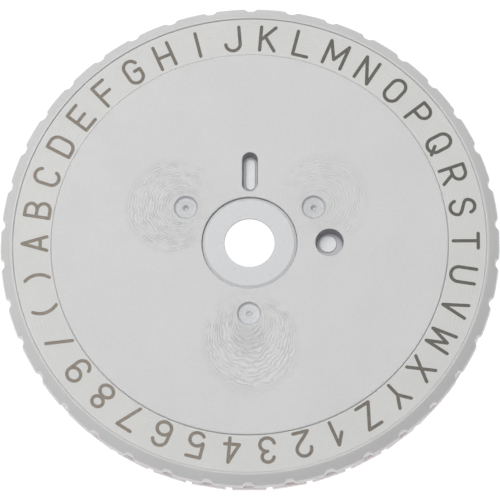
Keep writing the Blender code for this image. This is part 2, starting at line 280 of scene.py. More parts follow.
def soft_minimum(a, b, softness):
    """The smaller of a and b, with a smooth change from one to the other."""
    h = np.clip(0.5 + 0.5 * (b - a) / softness, 0, 1)
    return b + (a - b) * h - softness * h * (1 - h)


def turned(name, corners, count, finish, steps=4):
    """A closed profile of (r, z, radius) turned round Z."""
    shell = Shell()
    shell.loft(lathe_loops(rounded(corners, steps, closed=True), even_turns(count)), close=True)
    return shell.make(name, [finish])


def at_level(outline, z):
    """The outline's x and y at that level."""
    flat = np.asarray(outline)[:, :2]
    return np.column_stack((flat, np.full(len(flat), z)))


def circle_loop(centre, radius, z, count=40):
    """A circle as a loop of points."""
    turns = even_turns(count) + math.pi / count
    return at_level(np.column_stack((np.sin(turns), np.cos(turns))) * radius + centre, z)


def stadium_loop(centre, half_length, half_width, z, steps=12):
    """A slot outline along Y with round ends."""
    reach = half_length - half_width
    angles = np.linspace(0, math.pi, steps + 1)
    x = half_width * np.cos(angles)
    y = half_width * np.sin(angles)
    top = np.column_stack((x, y + reach))
    bottom = np.column_stack((-x, -y - reach))
    return at_level(np.concatenate((top, bottom)) + centre, z)


def round_rectangle(half_x, half_y, corner, inset=0.0):
    """Points of a rectangle with round corners, drawn in all round by the inset."""
    points = []
    for sx, sy, start in ((1, 1, 0), (-1, 1, 90), (-1, -1, 180), (1, -1, 270)):
        for step in range(4):
            angle = math.radians(start + 30 * step)
            x = sx * (half_x - corner) + (corner - inset) * math.cos(angle)
            y = sy * (half_y - corner) + (corner - inset) * math.sin(angle)
            points.append((x, y))
    return points


def inside(points, polygon):
    """Which points lie in the polygon, by counting crossings."""
    x, y = points[:, 0][:, None], points[:, 1][:, None]
    x0, y0 = polygon[:, 0][None], polygon[:, 1][None]
    x1, y1 = np.roll(polygon[:, 0], -1)[None], np.roll(polygon[:, 1], -1)[None]
    spans = (y0 > y) != (y1 > y)
    rise = np.where(y1 == y0, 1e-12, y1 - y0)
    crossings = spans & (x < (x1 - x0) * (y - y0) / rise + x0)
    return crossings.sum(1) % 2 == 1


def triangulate(loops):
    """Triangles that keep every loop's edges, as 2D points and index triples."""
    flat, edges = [], []
    for loop in loops:
        start, n = len(flat), len(loop)
        flat.extend(Vector((float(p[0]), float(p[1]))) for p in loop)
        edges.extend((start + i, start + (i + 1) % n) for i in range(n))
    points, _, faces, _, _, _ = delaunay_2d_cdt(flat, edges, [], 0, 1e-6, False)
    return np.array([(p.x, p.y) for p in points]), np.array([tuple(f) for f in faces])


def fill(outer, holes, lines=()):
    """Points, triangles and triangle middles between the outer loop and the holes, with edges along lines."""
    points, triangles = triangulate([outer, *holes, *lines])
    middles = points[triangles].mean(1)
    keep = inside(middles, np.asarray(outer)[:, :2])
    for hole in holes:
        keep &= ~inside(middles, np.asarray(hole)[:, :2])
    return points, triangles[keep], middles[keep]


def flat_face(shell, outer, holes, z, finish=0):
    """A flat face inside the outer loop and outside the holes."""
    points, triangles, _ = fill(outer, holes)
    shell.add(at_level(points, z), triangles.tolist(), finish)


def relief(shell, outer, holes, marks, level, mark_level, mark_finish):
    """A flat face on which the marks, which are polygons in groups, stand at another level."""
    polygons = [polygon for group in marks for polygon in group]
    points, triangles, middles = fill(outer, holes, polygons)
    marked = np.zeros(len(triangles), bool)
    for group in marks:
        everything = np.concatenate(group)
        near = np.all((middles > everything.min(0)) & (middles < everything.max(0)), axis=1)
        spots = np.flatnonzero(near)
        for polygon in group:
            marked[spots] |= inside(middles[spots], polygon)
    plain, moved = at_level(points, level), at_level(points, mark_level)
    shell.add(plain, triangles[~marked].tolist())
    shell.add(moved, triangles[marked].tolist(), mark_finish)
    owners = {}
    for triangle, is_marked in zip(triangles.tolist(), marked.tolist()):
        for k in range(3):
            a, b = triangle[k], triangle[(k + 1) % 3]
            owners.setdefault((min(a, b), max(a, b)), []).append(is_marked)
    walls = [edge for edge, sides in owners.items() if len(sides) == 2 and sides[0] != sides[1]]
    n = len(points)
    shell.add(np.concatenate((plain, moved)), [(a, b, b + n, a + n) for a, b in walls], mark_finish)


# ---------------- characters


def bow(cx, cy, rx, ry, start, end, steps=12):
    """Points on an ellipse's arc; angles in degrees, anticlockwise from +x."""
    angles = [math.radians(start + (end - start) * i / steps) for i in range(steps + 1)]
    return [(cx + rx * math.cos(a), cy + ry * math.sin(a)) for a in angles]


def sweep(a, b, c, d, steps=12):
    """Points on a cubic curve, without its first."""
    out = []
    for i in range(1, steps + 1):
        t = i / steps
        u = 1 - t
        weights = (u**3, 3 * u * u * t, 3 * u * t * t, t**3)
        out.append(tuple(sum(w * p[k] for w, p in zip(weights, (a, b, c, d))) for k in (0, 1)))
    return out


def glyph_strokes():
    """Centre lines of each character, in units of its half width, from its foot at y = 0."""
    top = GLYPH_TOP
    stem = [(-1, 0), (-1, top)]
    waist = 0.46 * top
    belt = 0.53 * top
    bulge = bow(0, 0.73 * top, 1, 0.27 * top, 90, -90)[1:-1]
    bowl = [(-1, top), (0, top)] + bulge + [(0, waist), (-1, waist)]
    hook = bow(0, top - 1, 1, 1, 18, 180)
    wide = 1.04
    oval = bow(0, top - wide, wide, wide, 0, 180) + bow(0, wide, wide, wide, 180, 360) + [(wide, top - wide)]
    six = [bow(0, top - 1, 1, 1, 20, 180) + [(-1, 0.91)], bow(0, 0.91, 1, 0.91, 0, 360, 24)]
    spine = sweep((-0.95, top - 0.95), (-0.95, belt), (1.0, 0.5 * top), (1.0, 1.0))
    tail = sweep((1.0, top - 1.0), (1.0, 0.5 * top), (-0.1, 0.33 * top), (-1.0, 0.0))
    return {
        "A": [[(-0.98, 0), (0, top), (0.98, 0)], [(-0.72, 0.27 * top), (0.72, 0.27 * top)]],
        "B": [
            stem,
            [(-1, top), (-0.1, top)] + bow(-0.1, 0.765 * top, 0.9, 0.235 * top, 90, -90)[1:] + [(-1, belt)],
            [(-1, belt), (0, belt)] + bow(0, 0.265 * top, 1, 0.265 * top, 90, -90)[1:] + [(-1, 0)],
        ],
        "C": [hook + bow(0, 1, 1, 1, 180, 338)],
        "D": [
            stem,
            [(-1, top), (-0.1, top)] + bow(-0.1, top - 1.1, 1.1, 1.1, 90, 0)[1:]
            + bow(-0.1, 1.1, 1.1, 1.1, 0, -90) + [(-1, 0)],
        ],
        "E": [[(0.95, top), (-1, top), (-1, 0), (1, 0)], [(-1, 0.5 * top), (0.72, 0.5 * top)]],
        "F": [[(0.95, top), (-1, top), (-1, 0)], [(-1, 0.5 * top), (0.75, 0.5 * top)]],
        "G": [hook + bow(0, 1, 1, 1, 180, 360) + [(1, 0.5 * top), (0.2, 0.5 * top)]],
        "H": [
            [(-1.03, 0), (-1.03, top)],
            [(1.03, 0), (1.03, top)],
            [(-1.03, 0.48 * top), (1.03, 0.48 * top)],
        ],
        "I": [[(0, 0), (0, top)]],
        "J": [[(1.0, top)] + bow(0, 0.98, 1.0, 0.98, 0, -180)],
        "K": [stem, [(-1, 0.42 * top), (1, top)], [(-0.38, 0.6 * top), (1, 0)]],
        "L": [[(-1, top), (-1, 0), (1, 0)]],
        "M": [[(-1.335, 0), (-1.335, top), (0, 0.27 * top), (1.335, top), (1.335, 0)]],
        "N": [[(-1.025, 0), (-1.025, top), (1.025, 0), (1.025, top)]],
        "O": [oval],
        "P": [stem, bowl],
        "Q": [oval, [(0.12, 0.3 * top), (1.0, 0.0)]],
        "R": [stem, bowl, [(0, waist), (1, 0)]],
        "S": [bow(0, top - 0.95, 0.95, 0.95, 15, 180) + spine + bow(0, 1, 1, 1, 0, -165)[1:]],
        "T": [[(-1.055, top), (1.055, top)], [(0, top), (0, 0)]],
        "U": [[(-1.06, top)] + bow(0, 1.06, 1.06, 1.06, 180, 360) + [(1.06, top)]],
        "V": [[(-0.95, top), (0, 0), (0.95, top)]],
        "W": [[(-1.335, top), (-0.98, 0), (0, 0.8 * top), (0.98, 0), (1.335, top)]],
        "X": [[(-1, top), (1, 0)], [(1, top), (-1, 0)]],
        "Y": [[(-1.05, top), (0, 0.52 * top), (1.05, top)], [(0, 0.52 * top), (0, 0)]],
        "Z": [[(-1, top), (1, top), (-1, 0), (1, 0)]],
        "1": [[(-0.6, 0.55 * top), (0.43, top), (0.43, 0)]],
        "2": [bow(0, top - 1, 1, 1, 185, 0) + tail + [(1, 0)]],
        "3": [
            bow(0, 0.776 * top, 0.82, 0.224 * top, 172, -90),
            bow(0, 0.276 * top, 1, 0.276 * top, 90, -172),
        ],
        "4": [[(0.35, 0), (0.35, top), (-1, 0.25 * top), (1, 0.25 * top)]],
        "5": [[(0.98, top), (-0.94, top), (-0.94, 0.446 * top)], bow(0.02, 0.93, 1, 0.93, 152, -145, 20)],
        "6": six,
        "7": [[(-1.06, top), (1.06, top), (-0.5, 0)]],
        "8": [bow(0, top - 0.735, 0.8, 0.735, 90, 450, 24), bow(0, 0.83, 1, 0.83, 90, 450, 24)],
        "9": [[(-x, top - y) for x, y in stroke] for stroke in six],
        "/": [[(-0.68, 0), (0.68, top)]],
        "(": [bow(2.3, top / 2, 2.6, 2.6, 139.5, 220.5)],
        ")": [bow(-2.23, top / 2, 2.6, 2.6, 40.5, -40.5)],
    }


def smooth_runs(stroke):
    """The stroke cut at its sharp corners, and a closed run in two, so that each run's outline is simple."""
    runs, run = [], [np.array(stroke[0], float)]
    for i in range(1, len(stroke)):
        here = np.array(stroke[i], float)
        if np.linalg.norm(here - run[-1]) < 1e-6:
            continue
        run.append(here)
        if i < len(stroke) - 1:
            back, ahead = here - run[-2], np.array(stroke[i + 1], float) - here
            cosine = back @ ahead / (np.linalg.norm(back) * np.linalg.norm(ahead) + 1e-12)
            if cosine < math.cos(math.radians(35)):
                runs.append(run)
                run = [here]
    runs.append(run)
    halves = []
    for run in runs:
        if len(run) > 8 and np.linalg.norm(run[0] - run[-1]) < 0.5:
            middle = len(run) // 2
            halves += [run[: middle + 1], run[middle:]]
        else:
            halves.append(run)
    return [np.array(run) for run in halves]


def ribbon(run, half, cap_steps=6):
    """The outline of a stroke of that half width with round ends."""
    steps = np.diff(run, axis=0)
    steps /= np.linalg.norm(steps, axis=1)[:, None]
    normals = np.column_stack((-steps[:, 1], steps[:, 0]))
    joints = np.vstack((normals[:1], normals[:-1] + normals[1:], normals[-1:]))
    joints /= np.linalg.norm(joints, axis=1)[:, None]
    spread = np.concatenate(([1], 1 / np.sqrt((1 + (normals[:-1] * normals[1:]).sum(1)) / 2), [1]))
    offset = joints * (half * spread)[:, None]

    def end(centre, start_angle):
        angles = start_angle - np.linspace(0, math.pi, cap_steps + 1)[1:-1]
        return centre + half * np.column_stack((np.cos(angles), np.sin(angles)))

    far = end(run[-1], math.atan2(normals[-1][1], normals[-1][0]))
    near = end(run[0], math.atan2(-normals[0][1], -normals[0][0]))
    return np.vstack((run + offset, far, (run - offset)[::-1], near))


def glyph_outlines(character, strokes, unit, half):
    """Outlines of one character round its own centre, x across and y up."""
    outlines = []
    for stroke in strokes[character]:
        for run in smooth_runs(stroke):
            placed = (run - (0, GLYPH_TOP / 2)) * unit
            outlines.append(ribbon(placed, half))
    return outlines


def stand_round(outline, radius, azimuth):
    """An outline set at that radius with its top outward."""
    across = np.array((math.cos(azimuth), -math.sin(azimuth)))
    out = np.array((math.sin(azimuth), math.cos(azimuth)))
    return outline[:, :1] * across + (radius + outline[:, 1:]) * out


# ---------------- materials


class Finish:
    """A node material with short ways to add the nodes it needs."""

    def __init__(self, name):
        self.material = bpy.data.materials.new(name)
        self.material.use_nodes = True
        self.tree = self.material.node_tree
        self.shader = self.tree.nodes["Principled BSDF"]
        self.object_point = self.node("ShaderNodeTexCoord").outputs["Object"]

    def node(self, kind, **settings):
        made = self.tree.nodes.new(kind)
        for key, value in settings.items():
            setattr(made, key, value)
        return made

    def feed(self, socket, value):
        if isinstance(value, bpy.types.NodeSocket):
            self.tree.links.new(value, socket)
        else:
            socket.default_value = value

    def math(self, operation, a, b=0.0):
        made = self.node("ShaderNodeMath", operation=operation)
        self.feed(made.inputs[0], a)
        self.feed(made.inputs[1], b)
        return made.outputs[0]

    def plus(self, a, b):
        return self.math("ADD", a, b)

    def minus(self, a, b):
        return self.math("SUBTRACT", a, b)

    def times(self, a, b):
        return self.math("MULTIPLY", a, b)

    def distance(self, x, y):
        return self.math("SQRT", self.plus(self.times(x, x), self.times(y, y)))

    def noise(self, size, detail=3.0, roughness=0.5):
        """Noise whose blobs are about that size in millimetres."""
        made = self.node("ShaderNodeTexNoise")
        self.feed(made.inputs["Vector"], self.object_point)
        made.inputs["Scale"].default_value = 1 / (size * MM)
        made.inputs["Detail"].default_value = detail
        made.inputs["Roughness"].default_value = roughness
        return made.outputs["Fac"]

    def span(self, value, low, high, to_low=0.0, to_high=1.0):
        """A smooth step from to_low to to_high as the value goes from low to high."""
        made = self.node("ShaderNodeMapRange", interpolation_type="SMOOTHSTEP")
        self.feed(made.inputs["Value"], value)
        for label, number in (("From Min", low), ("From Max", high), ("To Min", to_low), ("To Max", to_high)):
            made.inputs[label].default_value = number
        return made.outputs["Result"]

    def blend(self, factor, a, b):
        made = self.node("ShaderNodeMix", data_type="RGBA")
        self.feed(made.inputs["Factor"], factor)
        for socket, value in ((made.inputs[6], a), (made.inputs[7], b)):
            self.feed(socket, (*value, 1.0) if isinstance(value, tuple) else value)
        return made.outputs[2]

    def shade(self, colour, amount):
        """The colour times a varying brightness."""
        made = self.node("ShaderNodeVectorMath", operation="SCALE")
        self.feed(made.inputs[0], colour)
        self.feed(made.inputs["Scale"], amount)
        return made.outputs[0]

    def bump(self, height, depth, normal=None):
        """Height 0 to 1 stands for that many millimetres."""
        made = self.node("ShaderNodeBump")
        made.inputs["Strength"].default_value = 1.0
        made.inputs["Distance"].default_value = depth * MM
        self.feed(made.inputs["Height"], height)
        if normal is not None:
            self.feed(made.inputs["Normal"], normal)
        return made.outputs["Normal"]

    def coordinates(self):
        """x, y and z of the point in millimetres."""
        split = self.node("ShaderNodeSeparateXYZ")
        self.feed(split.inputs[0], self.object_point)
        return [self.times(output, 1 / MM) for output in split.outputs]

    def done(self, colour, roughness, normal=None, **constants):
        """The material. constants are shader inputs by name, with _ for a space."""
        self.feed(self.shader.inputs["Base Color"], colour)
        self.feed(self.shader.inputs["Roughness"], roughness)
        if normal is not None:
            self.feed(self.shader.inputs["Normal"], normal)
        for label, value in constants.items():
            self.shader.inputs[label.replace("_", " ")].default_value = value
        return self.material


def mottled(finish, colour, contrast):
    """Broad and fine changes of brightness round a colour."""
    broad = finish.span(finish.noise(9.0, 2.0), 0.3, 0.7, -1.0, 1.0)
    fine = finish.span(finish.noise(0.5, 4.0, 0.6), 0.25, 0.75, -1.0, 1.0)
    both = finish.plus(finish.times(broad, 0.4), finish.times(fine, 0.6))
    amount = finish.plus(finish.times(both, contrast), 1.0)
    flat = finish.node("ShaderNodeRGB")
    flat.outputs[0].default_value = (*colour, 1.0)
    return finish.shade(flat.outputs[0], amount)


def grain(finish, depth, size=0.12):
    """The fine bumps of a moulded surface."""
    return finish.bump(finish.noise(size, 3.0, 0.6), depth)


def plastic(name, colour, roughness, contrast=0.02, grain_depth=0.003, **constants):
    """A mottled plastic with a fine grain and a sheen that varies a little."""
    finish = Finish(name)
    sheen = finish.span(finish.noise(1.6, 3.0), 0.3, 0.7, roughness - 0.04, roughness + 0.04)
    return finish.done(mottled(finish, colour, contrast), sheen, grain(finish, grain_depth), **constants)


# The flow rings of each moulding gate: its azimuth, which way they stretch and by how much, how far they and
# their darker core reach, and their strength.
GATE_RINGS = [
    (GATE_AZIMUTHS[2], (-1.0, 0.1), 0.2, 8.0, 3.2, 1.0),
    (GATE_AZIMUTHS[0], (0.75, 0.66), 0.2, 7.7, 2.7, 0.7),
    (GATE_AZIMUTHS[1], (0.05, -1.0), 0.5, 6.9, 3.0, 1.0),
]
RING_SPACING = 0.38
RING_DARKNESS = 0.3
# Where and how wide the painted shade of the shallow sink below the lowest gate lies.
SINK_SHADE_AT = (0.1, -15.9)
SINK_SHADE_SIZE = (2.9, 3.4)


def gate_rings(finish, x, y, gate, waver, broken):
    """The flow rings of one gate, and how much its core and the rings' outer edge darken the dial."""
    azimuth, toward, stretch, reach, core_reach, strength = gate
    gate_x, gate_y = polar(GATE_AT, azimuth)
    dx = finish.minus(x, gate_x)
    dy = finish.minus(y, gate_y)
    distance = finish.distance(dx, dy)
    ux, uy = (part / math.hypot(*toward) * stretch for part in toward)
    along = finish.plus(finish.times(dx, ux), finish.times(dy, uy))
    wander = finish.times(finish.minus(waver, 1.0), 0.5)
    front = finish.plus(finish.minus(distance, along), wander)
    wave = finish.math("SINE", finish.times(front, TAU / RING_SPACING))
    within = finish.span(front, reach, reach - 1.2)
    beyond = finish.span(distance, 1.9, 2.6)
    facing = finish.span(along, -5.0 * stretch, 1.5 * stretch, 0.2, 1.0)
    mask = finish.times(finish.times(finish.times(within, beyond), strength), facing)
    lines = finish.times(finish.times(wave, mask), broken)
    rise = finish.span(front, reach - 1.4, reach - 0.4)
    fall = finish.span(front, reach + 0.1, reach - 0.2)
    ahead = finish.span(along, -1.0 * stretch, 2.0 * stretch)
    edge = finish.times(finish.times(rise, fall), ahead)
    core = finish.span(front, core_reach + 0.1, core_reach - 0.2)
    dark = finish.times(finish.plus(edge, core), -RING_DARKNESS * strength)
    return lines, dark


def flow_rings(finish, x, y):
    """Rings that the plastic left round each gate as it filled: their height and their brightness."""
    waver = finish.times(finish.noise(1.5, 3.0, 0.5), 2.0)
    broken = finish.span(finish.noise(1.3, 3.0, 0.6), 0.34, 0.6)
    height, tone = 0.0, 0.0
    for gate in GATE_RINGS:
        lines, dark = gate_rings(finish, x, y, gate, waver, broken)
        height = finish.plus(height, lines)
        tone = finish.plus(tone, finish.plus(lines, dark))
    return height, tone


def dial_finish():
    """Satin grey plastic of the dial, with flow rings round its gates and painted shade below the lowest one,
    where a shallow sink is.
    """
    finish = Finish("dial_plastic_satin")
    x, y, _ = finish.coordinates()
    height, tone = flow_rings(finish, x, y)
    colour = mottled(finish, (0.605, 0.61, 0.605), 0.034)
    # Painted shade: the dial is darkened below the lowest gate to stand for the shade of a shallow sink there.
    sink_shade_x = finish.times(finish.minus(x, SINK_SHADE_AT[0]), 1 / SINK_SHADE_SIZE[0])
    sink_shade_y = finish.times(finish.minus(y, SINK_SHADE_AT[1]), 1 / SINK_SHADE_SIZE[1])
    spread = finish.plus(finish.times(sink_shade_x, sink_shade_x), finish.times(sink_shade_y, sink_shade_y))
    sink_shade = finish.span(spread, 1.3, 0.25)
    brightness = finish.plus(finish.times(tone, 0.12), 1.0)
    brightness = finish.minus(brightness, finish.times(sink_shade, 0.08))
    normal = finish.bump(height, 0.03, grain(finish, 0.005))
    rough = finish.span(finish.noise(1.6, 3.0), 0.3, 0.7, 0.42, 0.5)
    return finish.done(finish.shade(colour, brightness), rough, normal, IOR=1.5)


STREAK_SPACING = 0.62


def ring_finish():
    """The index ring's plastic, with faint streaks across it."""
    finish = Finish("index_plastic_satin")
    x, y, _ = finish.coordinates()
    turns = finish.times(finish.distance(x, y), TAU / STREAK_SPACING)
    lines = finish.math("SINE", finish.plus(turns, finish.times(finish.noise(7.0, 3.0), 22.0)))
    broken = finish.span(finish.noise(3.0, 3.0, 0.6), 0.5, 0.7)
    streaks = finish.times(lines, broken)
    amount = finish.plus(finish.times(streaks, 0.03), 1.0)
    colour = finish.shade(mottled(finish, (0.596, 0.594, 0.582), 0.03), amount)
    normal = finish.bump(streaks, 0.004, grain(finish, 0.002))
    rough = finish.span(finish.noise(1.2, 3.0), 0.3, 0.7, 0.36, 0.44)
    return finish.done(colour, rough, normal, IOR=1.5)


def mark_finish():
    """The burnt grey-brown of the marked characters, with painted light that makes them lighter and browner
    towards -X and darker and greyer towards +X.
    """
    finish = Finish("character_mark")
    x, y, _ = finish.coordinates()
    along = finish.plus(finish.times(x, 0.9), finish.times(y, 0.42))
    # Painted light: the marks blend from lighter and browner towards -X to darker towards +X, as light falls on
    # them from the back left.
    side = finish.span(along, -34.0, 34.0)
    patchy = finish.span(finish.noise(0.7, 3.0, 0.6), 0.25, 0.75, 0.86, 1.14)
    base = finish.blend(side, (0.268, 0.232, 0.192), (0.118, 0.114, 0.1))
    return finish.done(finish.shade(base, patchy), 0.7, grain(finish, 0.01, 0.08))


def metal(name, colour, roughness):
    """A mottled metal with small patches of wear."""
    finish = Finish(name)
    wear = finish.span(finish.noise(0.35, 4.0, 0.6), 0.3, 0.7, roughness - 0.08, roughness + 0.1)
    normal = finish.bump(finish.noise(0.2, 3.0, 0.5), 0.004)
    return finish.done(mottled(finish, colour, 0.08), wear, normal, Metallic=1.0)


# ---------------- dial disc


def notch_turns():
    """Azimuths of the disc's columns: close together at each notch, few on the land between."""
    near = np.linspace(-NOTCH_REACH, NOTCH_REACH, 25)
    land = np.linspace(NOTCH_REACH, PITCH * RIM - NOTCH_REACH, 6)[1:-1]
    one = np.concatenate((near, land)) / RIM
    return np.concatenate([n * PITCH + one for n in range(COUNT)])


def notch_limit(turns):
    """How far out the disc may reach at each azimuth: a notch with sloping flanks at each whole pitch."""
    along = np.abs(np.mod(turns / PITCH + 0.5, 1) - 0.5) * PITCH * RIM
    rise = (along - NOTCH_HALF_FLOOR) * NOTCH_DEPTH / (NOTCH_HALF_MOUTH - NOTCH_HALF_FLOOR)
    return RIM - NOTCH_DEPTH + 0.5 * (rise + np.sqrt(rise**2 + NOTCH_CORNER**2))


def cone_point(t):
    """The radius and level on the cone, from the face's edge at t = 0 to the rim at t = 1."""
    return FACE_EDGE + (RIM - FACE_EDGE) * t, FACE + (FLANGE_TOP - FACE) * t


def paint_flange_highlight(shell, finish):
    """Gives the flange's front, its notches and the skirt below it a lighter finish of their own. This is
    painted light: a painted highlight along the flange front and notch edges, and painted light on the skirt,
    which sits in the flange's shadow.
    """
    for index, face in enumerate(shell.faces):
        x, y, z = np.mean([shell.points[i] for i in face], axis=0)
        radius = math.hypot(x, y)
        limit = min(RIM, float(notch_limit(math.atan2(x, y))))
        if radius > limit - FLANGE_HIGHLIGHT_BAND or (radius > SKIRT - FLANGE_HIGHLIGHT_BAND and z < FLANGE_BOTTOM + FLANGE_HIGHLIGHT_BAND):
            shell.finishes[index] = finish


def disc_edge_profile():
    """From the face's outer edge over the ring's seat, the lip, the cone, the flange and the die groove."""
    cone = [(*cone_point(t), 0) for t in (0.35, *np.linspace(0.62, 0.95, 9))]
    corners = [
        (RING_IN - RING_GAP - 0.3, FACE, 0),
        (RING_IN - RING_GAP, FACE, 0.21),
        (RING_IN - RING_GAP, RING_SEAT, 0),
        (RING_OUT + RING_GAP, RING_SEAT, 0),
        (RING_OUT + RING_GAP, FACE, 0.23),
        (FACE_EDGE, FACE, LIP_ROUND),
        *cone,
        (RIM, FLANGE_TOP, 0.2),
        (RIM, (FLANGE_TOP + FLANGE_BOTTOM) / 2, 0),
        (RIM, FLANGE_BOTTOM, EDGE_FILLET),
        (SKIRT, FLANGE_BOTTOM, 0.15),
        (SKIRT, DISC_BOTTOM, 0.12),
        (GROOVE_OUT, DISC_BOTTOM, 0.08),
        (GROOVE_OUT, GROOVE_TOP, 0),
        (GROOVE_IN, GROOVE_TOP, 0),
        (GROOVE_IN, DISC_BOTTOM, 0.08),
        (WEB_EDGE, DISC_BOTTOM, 0.08),
        (WEB_EDGE, WEB_BOTTOM, 0.2),
        (BOSS, WEB_BOTTOM, 0.2),
        (BOSS, DISC_BOTTOM, 0.1),
        (BOSS - 0.3, DISC_BOTTOM, 0),
    ]
    return rounded(corners)


def bore_profile():
    """From the counterbore's edge down to the boss underside."""
    corners = [
        (COUNTERBORE + 0.2, FACE, 0),
        (COUNTERBORE, FACE, 0.12),
        (COUNTERBORE, BUSH_SEAT, 0),
        (BARREL_BORE, BUSH_SEAT, 0),
        (BARREL_BORE, DISC_BOTTOM, 0.08),
        (BARREL_BORE + 0.3, DISC_BOTTOM, 0),
    ]
    return rounded(corners)


def opening_levels():
    """How far a drive opening's wall stands off its nominal outline: lip, draft, and a step over the pad."""
    turn = np.linspace(0, math.pi / 2, LIP_STEPS)
    lip = [(LIP * (1 - math.sin(a)), FACE - LIP * (1 - math.cos(a))) for a in turn]
    ledge = DRIVE_FLOOR + 0.02
    return lip + [(-0.1, FACE - 1.0), (-0.2, ledge), (0.0, ledge), (0.0, DISC_BOTTOM)]


def gate_levels(post):
    """The gate pad's section from its lip to its centre, where the sprue broke off in a small pit.

    post is how high the stub in the middle of the pit stands. Without one the pit is a deeper cone.
    """
    corners = [
        (GATE_PAD + 0.12, FACE, 0),
        (GATE_PAD, FACE, 0.1),
        (GATE_PAD - 0.24, FACE - 0.42, 0.3),
        (0.5, FACE - 0.4, 0.1),
    ]
    if post:
        pit = FACE - 0.62
        stub = pit + post
        corners += [(0.34, pit, 0.08), (0.22, pit, 0.04), (0.16, stub, 0.04), (0.06, stub, 0)]
    else:
        pit = FACE - 1.0
        corners += [(0.16, pit, 0.05), (0.06, pit, 0)]
    return rounded(corners)


def dial_disc():
    """The front moulding, with its rim notches, drive openings and gate pads."""
    shell = Shell()
    turns = notch_turns()
    edge = lathe_loops(disc_edge_profile(), turns, notch_limit(turns))
    bore = lathe_loops(bore_profile(), even_turns(144))
    shell.loft(edge)
    # The flange's front, notches and skirt get finish 1, a lighter copy of the plastic that is a painted
    # highlight.
    paint_flange_highlight(shell, 1)
    shell.loft(bore)
    levels = opening_levels()
    slot = [
        stadium_loop((0, SLOT_AT), SLOT_HALF_LENGTH + grow, SLOT_HALF_WIDTH + grow, z) for grow, z in levels
    ]
    hole = [circle_loop((DRIVE_AT, 0), DRIVE_HOLE + grow, z, 48) for grow, z in levels]
    gates = []
    for azimuth, post in zip(GATE_AZIMUTHS, GATE_POSTS):
        spot = polar(GATE_AT, azimuth)
        loops = [circle_loop(spot, radius, z) for radius, z in gate_levels(post)]
        shell.loft(loops, finish=3)
        shell.cap(loops[-1], finish=3)
        gates.append(loops[0])
    shell.loft(slot[:LIP_STEPS])
    shell.loft(hole[:LIP_STEPS])
    # The openings' walls and ledges get finish 2, a darker copy of the plastic that is painted shade in the
    # recesses.
    shell.loft(slot[LIP_STEPS - 1:], finish=2)
    shell.loft(hole[LIP_STEPS - 1:], finish=2)
    flat_face(shell, edge[0], [bore[0], slot[0], hole[0]] + gates, FACE)
    flat_face(shell, edge[-1], [bore[-1], slot[-1], hole[-1]], DISC_BOTTOM)
    # Finish 1 is the lighter painted highlight of the flange; finish 2 is the darker painted shade of the drive
    # openings.
    finishes = [
        dial_finish(),
        plastic("dial_flange_painted_highlight", (0.86, 0.83, 0.835), 0.4, 0.03),
        plastic("dial_opening_painted_shade", (0.36, 0.345, 0.37), 0.5, 0.05),
        plastic("dial_plastic_gate", (0.56, 0.567, 0.582), 0.45, 0.14),
    ]
    return shell.make("dial_disc_moulded", finishes)


# ---------------- index ring


def index_ring(strokes):
    """The ring in the dial's groove, with its characters sunk into it."""
    shell = Shell()
    columns = even_turns(6 * COUNT)
    bottom = RING_SEAT + 0.02
    corners = [
        (RING_OUT - 0.25, RING_TOP, 0),
        (RING_OUT, RING_TOP, 0.1),
        (RING_OUT, bottom, 0),
        (RING_IN, bottom, 0),
        (RING_IN, RING_TOP, 0.12),
        (RING_IN + 0.2, RING_TOP, 0),
    ]
    loops = lathe_loops(rounded(corners), columns)
    shell.loft(loops)
    marks = []
    for index, character in enumerate(CHARACTERS):
        outlines = glyph_outlines(character, strokes, GLYPH_UNIT, STROKE_HALF)
        azimuth = (index + 0.5) * PITCH + MARK_TURN
        marks.append([stand_round(outline, GLYPH_RADIUS, azimuth) + MARK_SHIFT for outline in outlines])
    relief(shell, loops[0], [loops[-1]], marks, RING_TOP, RING_TOP - ENGRAVED, 1)
    return shell.make("index_ring_marked", [ring_finish(), mark_finish()])


# ---------------- slit disc


# A blade's sections, from its root in the hub over the thin flexure to the rim, the last with their bend.
FLEXURE_STATIONS = (19.2, 19.9, 20.4, 21.0, 22.5, 25.0, 27.2)
FLEXURE_END, BLADE_START = 27.5, 29.0
BLADE_STATIONS = ((31.0, 0.2), (34.0, 0.5), (36.5, 0.8), (38.5, 1.0))
BLADE_ROUND = 0.16
BLADE_FILLET = 0.17

# The punch on a blade and the pad under it: radius, half length and half width, then their levels.
PUNCH_AT = 35.3
PUNCH, PUNCH_LEVELS = (PUNCH_AT, 1.7, 1.3), (2.1, 2.24, 2.3)
PRESS_PAD, PRESS_LEVELS = (36.9, 1.5, 1.5), (1.3, 1.0, 0.86)
PUNCH_MARK_TOP = 2.55
PUNCH_MARK_UNIT = 0.9
PUNCH_STROKE = 0.2


def blade_half_width(x):
    """Half the width that the slits leave a blade at x."""
    turn = PITCH / 2
    return x * math.tan(turn) - SLIT_HALF / math.cos(turn)


def blade_section(x, low, high, inset, tip):
    """A rounded section of the blade; tip from 0 to 1 bends it to the rim's arc."""
    low, high = low + inset, high - inset
    section = []
    for across, rise in round_rectangle(blade_half_width(x) - inset, (high - low) / 2, BLADE_ROUND):
        sag = x - math.sqrt(x * x - across * across)
        section.append((x - sag * tip, across, (low + high) / 2 + rise))
    return section


